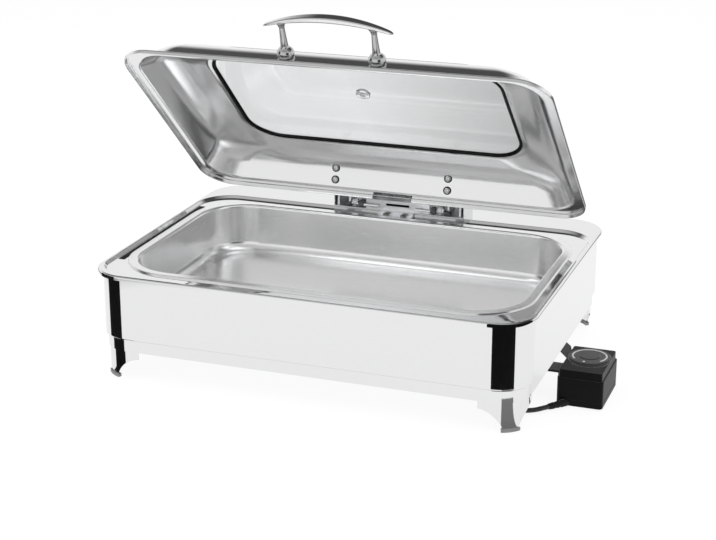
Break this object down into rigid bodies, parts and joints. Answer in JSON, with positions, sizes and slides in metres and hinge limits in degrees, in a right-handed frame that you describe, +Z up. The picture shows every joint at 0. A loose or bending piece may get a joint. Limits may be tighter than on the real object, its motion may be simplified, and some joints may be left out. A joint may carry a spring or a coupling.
{
  "type": "electric chafing dish",
  "caption": "Rectangular electric chafing dish: steel base on legs, lift-out food pan over a water bath, rear-hinged lid with glass window and arched handle, dial heat control.",
  "frame": {"origin": "middle of the whole footprint on the table, control box included and the free cord left out", "axes": "+Z up, +X along the long side towards the control box, -Y towards the front and the handle"},
  "size_m": [0.6316, 0.5175, 0.4631],
  "materials": {
    "polished_steel": "mirror polish",
    "satin_steel": "satin",
    "zinc_steel": "bright zinc",
    "screw_steel": "plain",
    "chrome": "mirror polish",
    "window_glass": "clear",
    "black_rubber": "matte",
    "cord_jacket": "satin",
    "black_plastic": "satin",
    "dial_plastic": "satin",
    "silver_print": "printed",
    "black_steel": "satin black",
    "heater_aluminium": "plain",
    "element_steel": "heat dulled",
    "thermostat_plastic": "matte",
    "pin_brass": "bright"
  },
  "bodies": {
    "base": {"casing": "polished_steel", "top_frame": "polished_steel", "lower_band": "polished_steel", "base_tray": "zinc_steel", "water_pan": "satin_steel", "food_pan": "satin_steel", "front_left_leg": "polished_steel", "front_right_leg": "polished_steel", "rear_left_leg": "polished_steel", "rear_right_leg": "polished_steel", "foot_caps": "black_rubber", "heater_plate": "heater_aluminium", "heating_element": "element_steel", "element_clips": "zinc_steel", "tray_posts": "zinc_steel", "tray_screws": "screw_steel", "hinge_base": "zinc_steel", "hinge_dampers": "zinc_steel", "hinge_cover": "polished_steel", "hinge_base_screws": "screw_steel", "control_bracket": "black_steel", "bracket_screws": "screw_steel", "control_base": "black_plastic", "control_housing": "black_plastic", "control_feet": "black_rubber", "thermostat": "thermostat_plastic", "strain_relief": "black_rubber", "mains_cord": "cord_jacket", "cord_coil": "cord_jacket", "cord_tie": "black_rubber", "plug_lead": "cord_jacket", "plug_body": "cord_jacket", "plug_pins": "pin_brass"},
    "lid": {"lid_shell": "satin_steel", "window_glass": "window_glass", "window_gasket": "black_rubber", "window_frame": "satin_steel", "vent_ring": "chrome", "hinge_arms": "zinc_steel", "hinge_pin": "zinc_steel", "lid_screws": "screw_steel", "handle_bar": "chrome", "handle_posts": "chrome", "handle_nuts": "screw_steel"},
    "dial": {"dial_knob": "dial_plastic", "dial_scale": "silver_print", "dial_spindle": "screw_steel"}
  },
  "joints": [
    {"name": "lid_hinge", "type": "hinge", "parent": "base", "child": "lid", "pos_m": [0, 0.178, 0.176], "axis": [-1, 0, 0], "range_deg": [-42.4, 47.6]},
    {"name": "dial_turn", "type": "hinge", "parent": "base", "child": "dial", "pos_m": [0.28925, -0.055, 0.05], "axis": [0, 0, -1], "range_deg": [0, 280]}
  ]
}
